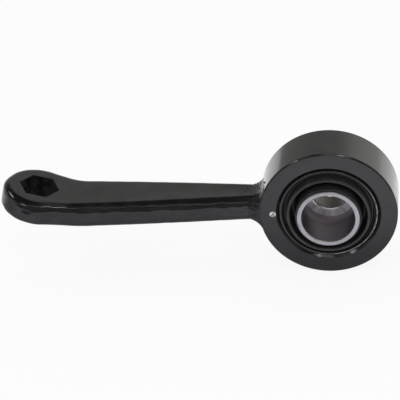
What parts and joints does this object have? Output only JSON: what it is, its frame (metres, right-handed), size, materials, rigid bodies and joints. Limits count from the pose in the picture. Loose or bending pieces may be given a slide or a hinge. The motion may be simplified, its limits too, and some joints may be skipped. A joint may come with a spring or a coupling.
{
  "type": "sway bar link",
  "caption": "Flat forged link arm with a hexagonal eye at one end, welded to a thick ring that holds a rubber bush with a stepped steel inner sleeve.",
  "frame": {"origin": "centre of the bush, on its axis and midway between the ring's two end faces", "axes": "+Y along the bush's axis, towards the rear of the bush and away from the counterbore; the arm runs along -X from the ring to the eye; +Z normal to the arm's broad faces, on the side towards which the eye is tilted"},
  "size_m": [0.281, 0.0516, 0.0966],
  "materials": {
    "black_paint": "semi-gloss black paint over forged and turned steel",
    "rubber": "moulded black rubber",
    "bare_steel": "turned bare steel"
  },
  "bodies": {
    "sleeve": {"inner_sleeve": "bare_steel"},
    "link": {"arm": "black_paint", "ring": "black_paint", "weld_bead": "black_paint", "bush_outer_shell": "black_paint", "bush_rubber": "rubber"}
  },
  "joints": [
    {"name": "bush_twist", "type": "hinge", "parent": "sleeve", "child": "link", "pos_m": [0, 0, 0], "axis": [0, 1, 0], "range_deg": [-15, 15], "stiffness_Nm_per_rad": 300}
  ]
}
